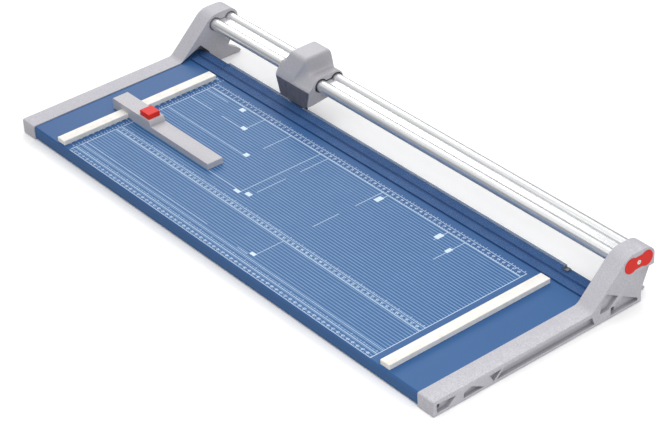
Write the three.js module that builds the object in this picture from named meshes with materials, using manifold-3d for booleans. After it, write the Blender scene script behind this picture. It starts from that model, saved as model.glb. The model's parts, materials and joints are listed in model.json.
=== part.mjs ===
// Rotary paper trimmer with a 724 mm clear width between its scale bars, in millimetres.
// X runs along the guide rail, Y from the front edge to the rail, Z up from the resting plane.
// The origin lies on the resting plane, under the middle of the whole trimmer.
import * as THREE from 'three';
import { ParametricGeometry } from 'three/addons/geometries/ParametricGeometry.js';
import { mergeVertices } from 'three/addons/utils/BufferGeometryUtils.js';
import Module from 'manifold-3d';

const wasm = await Module();
wasm.setup();

// Overall
const LENGTH = 938; // over the outer faces of the two brackets
const DEPTH = 388;
const GAP = 0.3; // between neighbouring pieces
const ROUND = 20; // segments in a small round
const LOBE_ROUND = 18; // segments in each lobe of the rail and of its bores
const WHEEL_ROUND = 48; // segments in the rim of the cutting wheel
const BRACKET_ROUND = 8; // segments in each rounding of a bracket
const CUT = 1; // how far a cutter reaches past the face it opens
const fromFront = (distance) => distance - DEPTH / 2;

// End brackets
const BRACKET_WIDTH = 30;
const BRACKET_BOTTOM = 1;
const BAR_TOP = 23.5;
const KINK_Y = fromFront(274.5);
const BRACKET_TOP = 82.8;
const BRACKET_REAR_Y = fromFront(387);
const LEG_REAR_Y = fromFront(363.5);
const LEG_TOP = 20;
const NECK_Z = 52; // height at which the sloping rear of the leg meets the upright rear face
const NECK_SETBACK = 0.5; // of the rear face at that height
const SHOULDER_Z = 68; // where the rear face starts to round over into the crown
const SHOULDER_PULL_Z = 76;
const CROWN_REAR_Y = fromFront(367);
const CROWN_REAR_PULL_Y = fromFront(378);
const CROWN_FRONT_Y = fromFront(349);
const CROWN_FRONT_PULL_Y = fromFront(340);
const ARM_TOP_Y = fromFront(331); // upper end of the sloping arm
const ARM_TOP_Z = 76;
const KINK_ROUND = 5;
const KINK_RISE = { along: 4, up: 3.5 }; // from the kink to where the sloping arm runs straight
const NOSE_ROUND = 3;
const FIN_FRONT_Y = fromFront(350);
const FIN_TIP = { chamfer: 2, low: 1.5, high: 5 };
const FLAT_WIDTH = 45; // of the cutter that makes the leaning flat
const BRACKET_INNER = LENGTH / 2 - BRACKET_WIDTH;
const FOOT_FIN_WIDTH = 13;
const MOUTH_DEPTH = 20; // of the opening under each sloping arm, where table and clamp run in
const MOUTH_FRONT_Y = fromFront(273);
const MOUTH_PEAK_Y = fromFront(312);
const MOUTH_PEAK_Z = 40;
const MOUTH_REAR_Y = fromFront(328);
const MOUTH_HEADROOM = 1; // above the table at the front and the rear of the mouth
const POCKET_DEPTH = 5;
const FLAT_LEAN = 23; // degrees off vertical
const FLAT_TOP = 51;
const FLAT_FALL = 0.17; // how far the flat falls away inwards, per unit of width
const DEEP_HOLE_DEPTH = 13;
const LEDGE_WIDTH = 14;
const LEDGE_BOTTOM = 5;
const LEDGE_FRONT_Y = fromFront(40);
const LEDGE_REAR_Y = fromFront(300);

// Rubber feet
const FOOT_X = LENGTH / 2 - BRACKET_WIDTH / 2;
const FOOT_RADIUS = 8;
const FOOT_TOP = 3;
const footYs = [22, 345].map(fromFront);

// Table
const TABLE_TOP = 22;
const SHEET = 2;
const TABLE_FRONT_Y = fromFront(1.5);
const TABLE_REAR_Y = fromFront(323.3);
const TABLE_BOTTOM = 3;
const TABLE_END = BRACKET_INNER - GAP;
const HEM = 12;
const EAR_CLEARANCE = 1; // between the end of each table ear and the back of its mouth
const EAR_SETBACK = 3; // of the front of each ear behind the front of its mouth

// Lower blade along the rear edge of the table
const LOWER_BLADE_THICKNESS = 2;
const LOWER_BLADE_Y = TABLE_REAR_Y + GAP;
const CUT_Y = LOWER_BLADE_Y + LOWER_BLADE_THICKNESS;
const LOWER_BLADE_BOTTOM = 8;

// Guide rail: two round lobes joined by a web
const RAIL_Y = fromFront(357.8);
const RAIL_Z = 66.2;
const LOBE_OFFSET = 14.8;
const LOBE_RADIUS = 9.1;
const LOBE_WALL = 1.8;
const WEB_HALF = 4.3;
const RAIL_END = LENGTH / 2 - 3;
const RAIL_SCREW_LENGTH = 20;
const PLATE_THICKNESS = 3.4;
const PLATE_PROUD = 1;
const PLATE_OFFSET = 14;
const PLATE_RADIUS = 11.5;
const PLATE_WEB_HALF = 9;

// Sleeve round the rail: outline of the glide bushings and of the rim in each bracket
const SLEEVE_RADIUS = 11;
const SLEEVE_WEB_HALF = 5.2;
const SOCKET_RIM_DEPTH = 4;

// Scale bars
const SCALE_INNER = 361.8;
const SCALE_OUTER = 379.8;
const SCALE_FRONT_Y = fromFront(4.8);
const SCALE_REAR_Y = fromFront(284);
const SCALE_TOP = 29.8;

// Clamp strip
const CLAMP_BOTTOM = TABLE_TOP + GAP;
const CLAMP_LIP_TOP = 24.1;
const CLAMP_RIB_TOP = 28;
const CLAMP_FRONT_Y = fromFront(291);
const CLAMP_RIB_FOOT_Y = fromFront(309.5);
const CLAMP_RIB_CREST_Y = fromFront(317.5);
const CLAMP_REAR_Y = fromFront(324.4);
const CLAMP_RIB_LEFT = -380;
const CLAMP_RIB_RIGHT = 369;
const TONGUE_REACH = 7;
const TONGUE_FRONT_Y = fromFront(313);
const TONGUE_REAR_Y = fromFront(323);
const CLAMP_SPRING_FLOOR = 9;
const CLAMP_SPRING_RADIUS = 2.9;
const CLAMP_SPRING_COIL = { wire: 0.45, turns: 5 };

// Cutting head, drawn where it stands on the rail
const HEAD_X = -216.2;
const HEAD_HALF = 42;
const HEAD_STEPS = 40;
const GRIP_HALF = 18.5;
const COVE_END = 26.5;
const NECK_HALF_SHARE = 0.72; // share of the half-length at which the neck begins
const GRIP_HALF_SHARE = 0.3; // share of the half-length taken by the grip
const BLADE_RADIUS = 23;
const BLADE_Z = 41;
const BLADE_FRONT_Y = CUT_Y + GAP;
const BLADE_THICKNESS = 1.2;
const BLADE_EDGE = 0.15; // thickness left at the rim
const BLADE_BEVEL = 3; // width of the ground ring round the rim
const BUSHING_LENGTH = 11;
const CAVITY_FRONT_Y = fromFront(323.5);
const CAVITY_REAR_Y = fromFront(331.5);
const AXLE_RADIUS = 2.4;
const AXLE_END_Y = fromFront(338);
const SHOE = { x0: HEAD_X + 22, x1: HEAD_X + 30, y0: fromFront(321.6), y1: fromFront(324.6), top: 43 };
const SHOE_POCKET_TOP = 55;
const SHOE_SPRING_COIL = { radius: 1.4, wire: 0.25, turns: 6 };
const HOLDER = { halfX: 13, y0: fromFront(329.5), y1: fromFront(331.2), z0: 34, z1: 56 };
const HOLDER_SCREW_X = 8.5;
const HOLDER_SCREW_Z = 50;
const HOLDER_SCREW_LENGTH = 13;
const HOLDER_SCREW_HEAD = { radius: 3, height: 1.2 };
const HEAD_BORE_CLEARANCE = 0.7; // between the head and the rail, away from the bushings
const WHEEL_CLEARANCE = 1.2; // round the rim of the cutting wheel in its cavity
const HUB_THICKNESS = 1.2;
const HUB_RADIUS = 7;
const HEAD_END_CENTRE = { y: fromFront(352), z: 60 }; // point each end of the head closes on
const BELOW_HEAD_Z = 20; // where the cutters that open the head from below start

// Dark apron on the front of the head: the blade cover on the left, which comes off to change the
// cutting wheel, and the fixed guard on the right
const APRON_FRONT_Y = fromFront(319.5);
const APRON_BACK_Y = fromFront(321);
const APRON_BOTTOM = 31;
const APRON_TOP = 60.5;
const APRON_TAPER = 9;
const APRON_HALF = HEAD_HALF - 3;
const APRON_JOINT_X = HEAD_X - 15;
const PEG_OFFSET = 33; // of each locating peg from the middle of the head
const PEG_Z = 57;
const PEG_RADIUS = 2;
const PEG_END_Y = fromFront(327);

// Backstop
const STOP_Y = fromFront(133);
const STOP_HALF_WIDTH = 13.5;
const STOP_LEFT = -401.2;
const STOP_RIGHT = -161.2;
const STOP_HEAD_RIGHT = -306;
const STOP_HEAD_TOP = 40;
const STOP_ARM_TOP = 32;
const BUTTON_X = -322;
const BUTTON_HALF_X = 11.5;
const BUTTON_HALF_Y = 10.5;
const BUTTON_TOP = 47.5;
const BUTTON_BOTTOM = 30;
const BUTTON_BORE = { radius: 6, top: 38 }; // round room for the spring under the button
const BUTTON_SPRING_COIL = { radius: 5.2, wire: 0.5, turns: 5 };
const WELL_FLOOR = 26;
const STOP_CHAMFER = 0.8;
const STEP_LEAN = 3; // how far the step from the head down to the arm leans out
const PAWL = { halfWidth: 4, bottom: 25, top: 29, intoWell: 3 };

// Fasteners
const SCREW_RADIUS = 1.9;
const SCREW_HEAD_RADIUS = 3.4;
const SCREW_HEAD_HEIGHT = 1.6;
const SCREW_HEAD_ROUND = 16; // segments round a screw head
const SHANK_ROUND = 10; // segments round a shank or a locating peg
const DRIVE_RADIUS = 1.2;
const DRIVE_DEPTH = 1;
const DRIVE_SIDES = 6;

// ---------- helpers ----------

const manifolds = [];

function solid(geometry) {
  const bare = geometry.index ? geometry.toNonIndexed() : geometry.clone();
  bare.deleteAttribute('normal');
  bare.deleteAttribute('uv');
  const merged = mergeVertices(bare, 1e-4);
  const kept = [];
  const index = merged.index.array;
  for (let i = 0; i < index.length; i += 3) {
    const [a, b, c] = [index[i], index[i + 1], index[i + 2]];
    if (a !== b && b !== c && c !== a) kept.push(a, b, c);
  }
  const mesh = new wasm.Mesh({
    numProp: 3,
    vertProperties: Float32Array.from(merged.attributes.position.array),
    triVerts: Uint32Array.from(kept),
  });
  const result = new wasm.Manifold(mesh);
  manifolds.push(result);
  return result;
}

function geometryOf(body) {
  const mesh = body.getMesh();
  const geometry = new THREE.BufferGeometry();
  geometry.setAttribute('position', new THREE.BufferAttribute(Float32Array.from(mesh.vertProperties), 3));
  geometry.setIndex(new THREE.BufferAttribute(Uint32Array.from(mesh.triVerts), 1));
  geometry.computeVertexNormals();
  return geometry;
}

const join = (...bodies) => bodies.reduce((all, body) => all.add(body));
const cut = (body, ...tools) => tools.reduce((left, tool) => left.subtract(tool), body);

function polygon(points) {
  return new THREE.Shape(points.map(([a, b]) => new THREE.Vector2(a, b)));
}

function circle(radius, a = 0, b = 0) {
  return new THREE.Shape().absarc(a, b, radius, 0, 2 * Math.PI);
}

const axisFrames = {
  // A shape drawn in (Y, Z) grows along +X, one in (Z, X) along +Y and one in (X, Y) along +Z.
  x: new THREE.Matrix4().set(0, 0, 1, 0, 1, 0, 0, 0, 0, 1, 0, 0, 0, 0, 0, 1),
  y: new THREE.Matrix4().set(0, 1, 0, 0, 0, 0, 1, 0, 1, 0, 0, 0, 0, 0, 0, 1),
  z: new THREE.Matrix4(),
};

function extrude(axis, shape, low, high, segments = LOBE_ROUND) {
  const geometry = new THREE.ExtrudeGeometry(shape, {
    depth: high - low,
    bevelEnabled: false,
    curveSegments: segments,
  });
  geometry.translate(0, 0, low);
  geometry.applyMatrix4(axisFrames[axis]);
  return solid(geometry);
}

function box(x0, x1, y0, y1, z0, z1) {
  const geometry = new THREE.BoxGeometry(x1 - x0, y1 - y0, z1 - z0);
  geometry.translate((x0 + x1) / 2, (y0 + y1) / 2, (z0 + z1) / 2);
  return solid(geometry);
}

// A round pin along an axis; (a, b) is its centre in the drawing plane of that axis.
function pin(axis, a, b, radius, low, high, segments = ROUND) {
  const geometry = new THREE.CylinderGeometry(radius, radius, high - low, segments);
  geometry.rotateX(Math.PI / 2);
  geometry.translate(a, b, (low + high) / 2);
  geometry.applyMatrix4(axisFrames[axis]);
  return solid(geometry);
}

const mirrorX = (body) => body.mirror([1, 0, 0]);

// Outline of two round lobes joined by a web, centred on the rail in (Y, Z).
function lobedOutline(offset, radius, webHalf) {
  const open = Math.asin(webHalf / radius);
  const shape = new THREE.Shape();
  shape.absarc(RAIL_Y + offset, RAIL_Z, radius, open - Math.PI, Math.PI - open);
  shape.absarc(RAIL_Y - offset, RAIL_Z, radius, open, 2 * Math.PI - open);
  return shape;
}

const railOutline = (clearance = 0) =>
  lobedOutline(LOBE_OFFSET, LOBE_RADIUS + clearance, WEB_HALF + clearance);
const sleeveOutline = (clearance = 0) =>
  lobedOutline(LOBE_OFFSET, SLEEVE_RADIUS + clearance, SLEEVE_WEB_HALF + clearance);
const plateOutline = (clearance = 0) =>
  lobedOutline(PLATE_OFFSET, PLATE_RADIUS + clearance, PLATE_WEB_HALF + clearance);

class Helix extends THREE.Curve {
  constructor(centre, radius, height, turns) {
    super();
    Object.assign(this, { centre, radius, height, turns });
  }

  getPoint(t, target = new THREE.Vector3()) {
    const angle = 2 * Math.PI * this.turns * t;
    return target.set(
      this.centre.x + this.radius * Math.cos(angle),
      this.centre.y + this.radius * Math.sin(angle),
      this.centre.z + this.height * t,
    );
  }
}

// A compression spring standing on z0, with its wire inside the stated outer radius and height.
function spring(x, y, z0, z1, outerRadius, wire, turns) {
  const stepsPerTurn = 9;
  const wireSides = 4;
  const path = new Helix(new THREE.Vector3(x, y, z0 + wire), outerRadius - wire, z1 - z0 - 2 * wire, turns);
  return solid(new THREE.ExtrudeGeometry(circle(wire), {
    extrudePath: path,
    steps: turns * stepsPerTurn,
    curveSegments: wireSides,
  }));
}

const ordered = (p, q) => [Math.min(p, q), Math.max(p, q)];

// A screw along an axis: its head ends at `top` and its shank runs `length` the other way.
function screw(axis, a, b, top, length, direction = 1) {
  const headBottom = top - direction * SCREW_HEAD_HEIGHT;
  const tip = top - direction * length;
  const drive = [top - direction * DRIVE_DEPTH, top + direction * CUT];
  return cut(
    join(
      pin(axis, a, b, SCREW_HEAD_RADIUS, ...ordered(headBottom, top), SCREW_HEAD_ROUND),
      pin(axis, a, b, SCREW_RADIUS, ...ordered(tip, headBottom), SHANK_ROUND),
    ),
    pin(axis, a, b, DRIVE_RADIUS, ...ordered(...drive), DRIVE_SIDES),
  );
}

// The room a screw needs: shank and head with clearance all round.
function screwRoom(axis, a, b, top, length, direction = 1) {
  const headBottom = top - direction * (SCREW_HEAD_HEIGHT + GAP);
  return join(
    pin(axis, a, b, SCREW_HEAD_RADIUS + GAP, ...ordered(headBottom, top + direction * CUT), SCREW_HEAD_ROUND),
    pin(axis, a, b, SCREW_RADIUS + GAP, ...ordered(top - direction * (length + GAP), top), SHANK_ROUND),
  );
}

const finishes = {
  castGrey: { color: 0xc9c9cd, roughness: 0.6, metalness: 0.1 },
  blueSheet: { color: 0x4a73a3, roughness: 0.45, metalness: 0.2 },
  satinAluminium: { color: 0xd4d6d9, roughness: 0.32, metalness: 0.9 },
  whiteBar: { color: 0xeceae4, roughness: 0.4, metalness: 0.2 },
  steel: { color: 0xa9adb2, roughness: 0.3, metalness: 0.95 },
  darkSteel: { color: 0x3a3d42, roughness: 0.35, metalness: 0.9 },
  red: { color: 0xd8372c, roughness: 0.4, metalness: 0 },
  black: { color: 0x1c1c1e, roughness: 0.7, metalness: 0 },
  clearBlue: { color: 0x5f8fc8, roughness: 0.1, metalness: 0 },
  darkGrey: { color: 0x5a5a60, roughness: 0.6, metalness: 0 },
};

const part = new THREE.Group();
part.name = 'rotary_paper_trimmer';

function addPiece(name, body, finish) {
  const mesh = new THREE.Mesh(geometryOf(body), new THREE.MeshStandardMaterial(finishes[finish]));
  mesh.name = name;
  part.add(mesh);
}

// ---------- table, brackets and rail ----------

const BRACKET_SCREW_TIP = TABLE_TOP - 0.7; // just inside the sheet of the table
const CLAMP_SPRING_X = BRACKET_INNER + 4;
const CLAMP_SPRING_Y = (TONGUE_FRONT_Y + TONGUE_REAR_Y) / 2;
const bracketScrewYs = [60, 165, 270].map(fromFront);
const BRACKET_SCREW_X = BRACKET_INNER - LEDGE_WIDTH / 2;
const BRACKET_SCREW_LENGTH = BRACKET_SCREW_TIP - LEDGE_BOTTOM;
const scaleScrewYs = [30, 255].map(fromFront);
const SCALE_SCREW_X = (SCALE_INNER + SCALE_OUTER) / 2;
const SCALE_SCREW_HEAD = TABLE_TOP - SHEET - GAP - SCREW_HEAD_HEIGHT;
const SCALE_SCREW_LENGTH = 9.5;
const bladeScrewXs = [-360, -120, 120, 360];
const BLADE_SCREW_Z = 14;
const BLADE_SCREW_LENGTH = 7;

function makeTable() {
  const hemTop = TABLE_BOTTOM + SHEET;
  const section = polygon([
    [TABLE_FRONT_Y, TABLE_BOTTOM],
    [TABLE_FRONT_Y + HEM, TABLE_BOTTOM],
    [TABLE_FRONT_Y + HEM, hemTop],
    [TABLE_FRONT_Y + SHEET, hemTop],
    [TABLE_FRONT_Y + SHEET, TABLE_TOP - SHEET],
    [TABLE_REAR_Y - SHEET, TABLE_TOP - SHEET],
    [TABLE_REAR_Y - SHEET, TABLE_BOTTOM],
    [TABLE_REAR_Y, TABLE_BOTTOM],
    [TABLE_REAR_Y, TABLE_TOP],
    [TABLE_FRONT_Y + SHEET, TABLE_TOP],
    [TABLE_FRONT_Y, TABLE_TOP - SHEET],
  ]);
  const earEnd = TABLE_END + MOUTH_DEPTH - EAR_CLEARANCE;
  let table = join(
    extrude('x', section, -TABLE_END, TABLE_END),
    box(-earEnd, earEnd, MOUTH_FRONT_Y + EAR_SETBACK, TABLE_REAR_Y, TABLE_TOP - SHEET, TABLE_TOP),
  );
  for (const side of [-1, 1]) {
    table = cut(table, pin('z', side * CLAMP_SPRING_X, CLAMP_SPRING_Y,
      CLAMP_SPRING_RADIUS + GAP, TABLE_TOP - SHEET - CUT, TABLE_TOP + CUT));
    for (const y of bracketScrewYs) {
      table = cut(table, screwRoom('z', side * BRACKET_SCREW_X, y, LEDGE_BOTTOM, BRACKET_SCREW_LENGTH, -1));
    }
    for (const y of scaleScrewYs) {
      table = cut(table, screwRoom('z', side * SCALE_SCREW_X, y, SCALE_SCREW_HEAD, SCALE_SCREW_LENGTH, -1));
    }
  }
  for (const x of bladeScrewXs) {
    table = cut(table, screwRoom('y', BLADE_SCREW_Z, x, CUT_Y, BLADE_SCREW_LENGTH));
  }
  return table;
}

// Pockets and ribs on the outer face of a bracket, as outlines in (distance from front, Z).
const facePockets = [
  [[6, 5], [6, 18.5], [38, 16], [24, 5]],
  [[50, 5], [51, 12.5], [64, 16.5], [85, 5]],
  [[94.5, 16.5], [115, 17.5], [101, 5]],
  [[106, 5], [119, 17.5], [274, 17.5], [278, 5]],
  [[288, 16], [291, 33], [300, 42], [321, 30], [303, 16]],
  [[307, 5], [309, 15], [329.5, 25], [357, 9.5], [357, 5]],
];
const deepHoles = [[5.5, 14, 8, 17], [307.5, 318, 6, 17]];

function makeBracket() {
  const profile = new THREE.Shape();
  profile.moveTo(fromFront(0), BRACKET_BOTTOM);
  profile.lineTo(LEG_REAR_Y, BRACKET_BOTTOM);
  profile.lineTo(LEG_REAR_Y, LEG_TOP);
  profile.lineTo(BRACKET_REAR_Y - NECK_SETBACK, NECK_Z);
  profile.lineTo(BRACKET_REAR_Y, SHOULDER_Z);
  profile.bezierCurveTo(
    BRACKET_REAR_Y, SHOULDER_PULL_Z,
    CROWN_REAR_PULL_Y, BRACKET_TOP,
    CROWN_REAR_Y, BRACKET_TOP,
  );
  profile.lineTo(CROWN_FRONT_Y, BRACKET_TOP);
  profile.quadraticCurveTo(CROWN_FRONT_PULL_Y, BRACKET_TOP, ARM_TOP_Y, ARM_TOP_Z);
  profile.lineTo(KINK_Y + KINK_RISE.along, BAR_TOP + KINK_RISE.up);
  profile.quadraticCurveTo(KINK_Y, BAR_TOP, KINK_Y - KINK_ROUND, BAR_TOP);
  profile.lineTo(fromFront(NOSE_ROUND), BAR_TOP);
  profile.quadraticCurveTo(fromFront(0), BAR_TOP, fromFront(0), BAR_TOP - NOSE_ROUND);
  const outer = LENGTH / 2;
  let bracket = extrude('x', profile, BRACKET_INNER, outer, BRACKET_ROUND);

  // Rear foot fin on the inner side, and the ledge that carries the table
  const fin = polygon([
    [FIN_FRONT_Y, BRACKET_BOTTOM],
    [DEPTH / 2 - FIN_TIP.chamfer, BRACKET_BOTTOM],
    [DEPTH / 2, BRACKET_BOTTOM + FIN_TIP.low],
    [DEPTH / 2 - FIN_TIP.chamfer, BRACKET_BOTTOM + FIN_TIP.high],
    [LEG_REAR_Y, LEG_TOP],
    [FIN_FRONT_Y, LEG_TOP],
  ]);
  bracket = join(
    bracket,
    extrude('x', fin, BRACKET_INNER, BRACKET_INNER + FOOT_FIN_WIDTH),
    box(
      BRACKET_INNER - LEDGE_WIDTH, BRACKET_INNER + CUT,
      LEDGE_FRONT_Y, LEDGE_REAR_Y,
      LEDGE_BOTTOM, TABLE_TOP - SHEET - GAP,
    ),
  );

  // Weight-saving pockets in the outer face, and two deep square holes
  for (const outline of facePockets) {
    const shape = polygon(outline.map(([distance, z]) => [fromFront(distance), z]));
    bracket = cut(bracket, extrude('x', shape, outer - POCKET_DEPTH, outer + CUT));
  }
  for (const [y0, y1, z0, z1] of deepHoles) {
    bracket = cut(bracket, box(outer - DEEP_HOLE_DEPTH, outer + CUT, fromFront(y0), fromFront(y1), z0, z1));
  }

  // Leaning flat below the rear lobe, running in from the outer face to the rear
  const flatPlan = polygon([[0, 0], [CUT, 0], [CUT, FLAT_WIDTH], [-FLAT_FALL * FLAT_WIDTH, FLAT_WIDTH]]);
  const flat = extrude('z', flatPlan, -FLAT_WIDTH, FLAT_WIDTH)
    .rotate([FLAT_LEAN, 0, 0])
    .translate([outer, LEG_REAR_Y - CUT, LEG_TOP])
    .trimByPlane([0, 0, -1], -FLAT_TOP)
    .trimByPlane([0, 0, 1], LEG_TOP);
  bracket = cut(bracket, flat);

  // Rail socket with a relieved rim on the inside and a recess for the end plate outside
  bracket = cut(
    bracket,
    extrude('x', railOutline(GAP), BRACKET_INNER - CUT, outer + CUT),
    extrude('x', sleeveOutline(), BRACKET_INNER - CUT, BRACKET_INNER + SOCKET_RIM_DEPTH),
    extrude('x', plateOutline(GAP), outer + PLATE_PROUD - PLATE_THICKNESS - GAP, outer + CUT),
  );

  // Mouth for the table and the clamp, clamp spring bore, rubber foot sockets and ledge screw holes
  const mouth = polygon([
    [MOUTH_FRONT_Y, TABLE_TOP - SHEET - GAP],
    [MOUTH_REAR_Y, TABLE_TOP - SHEET - GAP],
    [MOUTH_REAR_Y, TABLE_TOP + MOUTH_HEADROOM],
    [MOUTH_PEAK_Y, MOUTH_PEAK_Z],
    [MOUTH_FRONT_Y, TABLE_TOP + MOUTH_HEADROOM],
  ]);
  bracket = cut(
    bracket,
    extrude('x', mouth, BRACKET_INNER - CUT, BRACKET_INNER + MOUTH_DEPTH),
    pin('z', CLAMP_SPRING_X, CLAMP_SPRING_Y, CLAMP_SPRING_RADIUS + GAP, CLAMP_SPRING_FLOOR, TABLE_TOP),
    ...footYs.map((y) => pin('z', FOOT_X, y, FOOT_RADIUS + GAP, BRACKET_BOTTOM - CUT, FOOT_TOP + GAP)),
    ...bracketScrewYs.map((y) =>
      screwRoom('z', BRACKET_SCREW_X, y, LEDGE_BOTTOM, BRACKET_SCREW_LENGTH, -1)),
  );
  return bracket;
}

function makeRail() {
  const profile = railOutline();
  for (const side of [-1, 1]) {
    const hole = new THREE.Path();
    hole.absarc(RAIL_Y + side * LOBE_OFFSET, RAIL_Z, LOBE_RADIUS - LOBE_WALL, 0, 2 * Math.PI);
    profile.holes.push(hole);
  }
  const screwHole = new THREE.Path();
  screwHole.absarc(RAIL_Y, RAIL_Z, SCREW_RADIUS + GAP, 0, 2 * Math.PI);
  profile.holes.push(screwHole);
  return extrude('x', profile, -RAIL_END, RAIL_END);
}

function makeRailPlate() {
  const outer = LENGTH / 2 + PLATE_PROUD;
  return cut(
    extrude('x', plateOutline(), outer - PLATE_THICKNESS, outer),
    screwRoom('x', RAIL_Y, RAIL_Z, outer, RAIL_SCREW_LENGTH),
  );
}

const bracket = makeBracket();
const railPlate = makeRailPlate();
const railScrew = screw('x', RAIL_Y, RAIL_Z, LENGTH / 2 + PLATE_PROUD, RAIL_SCREW_LENGTH);
addPiece('table_top', makeTable(), 'blueSheet');
addPiece('left_end_bracket', mirrorX(bracket), 'castGrey');
addPiece('right_end_bracket', bracket, 'castGrey');
addPiece('guide_rail', makeRail(), 'satinAluminium');
addPiece('left_rail_plate', mirrorX(railPlate), 'red');
addPiece('right_rail_plate', railPlate, 'red');
addPiece('left_rail_screw', mirrorX(railScrew), 'steel');
addPiece('right_rail_screw', railScrew, 'steel');

for (const [side, sideName] of [[-1, 'left'], [1, 'right']]) {
  bracketScrewYs.forEach((y, i) => {
    const body = screw('z', side * BRACKET_SCREW_X, y, LEDGE_BOTTOM, BRACKET_SCREW_LENGTH, -1);
    addPiece(`${sideName}_bracket_screw_${i + 1}`, body, 'steel');
  });
  footYs.forEach((y, i) => {
    const body = pin('z', side * FOOT_X, y, FOOT_RADIUS, 0, FOOT_TOP);
    addPiece(`${sideName}_${i ? 'rear' : 'front'}_rubber_foot`, body, 'black');
  });
}

// ---------- lower blade and scale bars ----------

let lowerBlade = box(
  -TABLE_END, TABLE_END,
  LOWER_BLADE_Y, CUT_Y,
  LOWER_BLADE_BOTTOM, TABLE_TOP,
);
bladeScrewXs.forEach((x, i) => {
  lowerBlade = cut(lowerBlade, screwRoom('y', BLADE_SCREW_Z, x, CUT_Y, BLADE_SCREW_LENGTH));
  addPiece(`lower_blade_screw_${i + 1}`, screw('y', BLADE_SCREW_Z, x, CUT_Y, BLADE_SCREW_LENGTH), 'steel');
});
addPiece('lower_blade', lowerBlade, 'darkSteel');

for (const [side, sideName] of [[-1, 'left'], [1, 'right']]) {
  const [low, high] = side < 0 ? [-SCALE_OUTER, -SCALE_INNER] : [SCALE_INNER, SCALE_OUTER];
  let bar = box(low, high, SCALE_FRONT_Y, SCALE_REAR_Y, TABLE_TOP + GAP, SCALE_TOP);
  scaleScrewYs.forEach((y, i) => {
    bar = cut(bar, screwRoom('z', side * SCALE_SCREW_X, y, SCALE_SCREW_HEAD, SCALE_SCREW_LENGTH, -1));
    const body = screw('z', side * SCALE_SCREW_X, y, SCALE_SCREW_HEAD, SCALE_SCREW_LENGTH, -1);
    addPiece(`${sideName}_scale_screw_${i ? 'rear' : 'front'}`, body, 'steel');
  });
  addPiece(`${sideName}_scale_bar`, bar, 'whiteBar');
}

// ---------- clamp ----------

const lipProfile = polygon([
  [CLAMP_FRONT_Y, CLAMP_BOTTOM],
  [CLAMP_REAR_Y, CLAMP_BOTTOM],
  [CLAMP_REAR_Y, CLAMP_LIP_TOP],
  [CLAMP_FRONT_Y + 1, CLAMP_LIP_TOP],
  [CLAMP_FRONT_Y, CLAMP_LIP_TOP - 1],
]);
const ribProfile = polygon([
  [CLAMP_RIB_FOOT_Y, CLAMP_BOTTOM],
  [CLAMP_REAR_Y, CLAMP_BOTTOM],
  [CLAMP_REAR_Y, CLAMP_RIB_TOP],
  [CLAMP_RIB_CREST_Y, CLAMP_RIB_TOP],
  [CLAMP_RIB_FOOT_Y, CLAMP_LIP_TOP],
]);
const tongueEnd = BRACKET_INNER + TONGUE_REACH;
const clampStrip = join(
  extrude('x', lipProfile, -TABLE_END, TABLE_END),
  extrude('x', ribProfile, CLAMP_RIB_LEFT, CLAMP_RIB_RIGHT),
  box(-tongueEnd, tongueEnd, TONGUE_FRONT_Y, TONGUE_REAR_Y, CLAMP_BOTTOM, CLAMP_LIP_TOP),
);
addPiece('clamp_strip', clampStrip, 'clearBlue');

const CLIP_BOTTOM = CLAMP_LIP_TOP + GAP;
const CLIP_Y = fromFront(320);
const CLIP_HALF = 4;
const CLIP_LENGTH = 9.5;
const CLIP_THICKNESS = 1;
const CLIP_UPRIGHT = 1.5;
const RIVET = { x: CLAMP_RIB_RIGHT + 7, radius: 1.8, height: 2 };
const clipStart = CLAMP_RIB_RIGHT + GAP;
const clampClip = join(
  box(clipStart, CLAMP_RIB_RIGHT + CLIP_LENGTH, CLIP_Y - CLIP_HALF, CLIP_Y + CLIP_HALF,
    CLIP_BOTTOM, CLIP_BOTTOM + CLIP_THICKNESS),
  box(clipStart, CLAMP_RIB_RIGHT + CLIP_UPRIGHT, CLIP_Y - CLIP_HALF, CLIP_Y + CLIP_HALF,
    CLIP_BOTTOM, CLAMP_RIB_TOP),
  pin('z', RIVET.x, CLIP_Y, RIVET.radius, CLIP_BOTTOM, CLIP_BOTTOM + RIVET.height, SHANK_ROUND),
);
addPiece('clamp_end_clip', clampClip, 'steel');

for (const [side, sideName] of [[-1, 'left'], [1, 'right']]) {
  const body = spring(
    side * CLAMP_SPRING_X, CLAMP_SPRING_Y,
    CLAMP_SPRING_FLOOR + GAP, CLAMP_BOTTOM - GAP,
    CLAMP_SPRING_RADIUS, CLAMP_SPRING_COIL.wire, CLAMP_SPRING_COIL.turns,
  );
  addPiece(`${sideName}_clamp_spring`, body, 'steel');
}

// ---------- cutting head ----------

// Matching points of the head's section across the grip and at the neck round the rail. A grip point
// is [distance from front, Z, how far the grip leans to the left there], a neck point is
// [distance from front, Z, how far the side is drawn in there].
const gripSection = [
  [319.5, 31, 0], [319.8, 62, 19], [321.5, 69.5, 16], [326.8, 84, 9], [333.2, 101.5, 1.5], [337.5, 105, 0],
  [379, 105, 0], [383, 101, 0], [385.4, 84, 0], [386, 64, 0], [383, 46, 0], [377, 41, 0],
  [352, 41, 0], [334, 31, 0],
];
const neckSection = [
  [319.5, 33.5, 8], [319.8, 62, 2], [325, 67, 0], [330.3, 73.5, 0], [335.2, 78.3, 0], [342, 80.3, 0],
  [374, 80.3, 0], [381, 77.5, 0], [385.4, 69, 0], [386, 60, 0], [383, 46, 0], [377, 41, 0],
  [352, 41, 2], [334, 33.5, 8],
];

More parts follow.
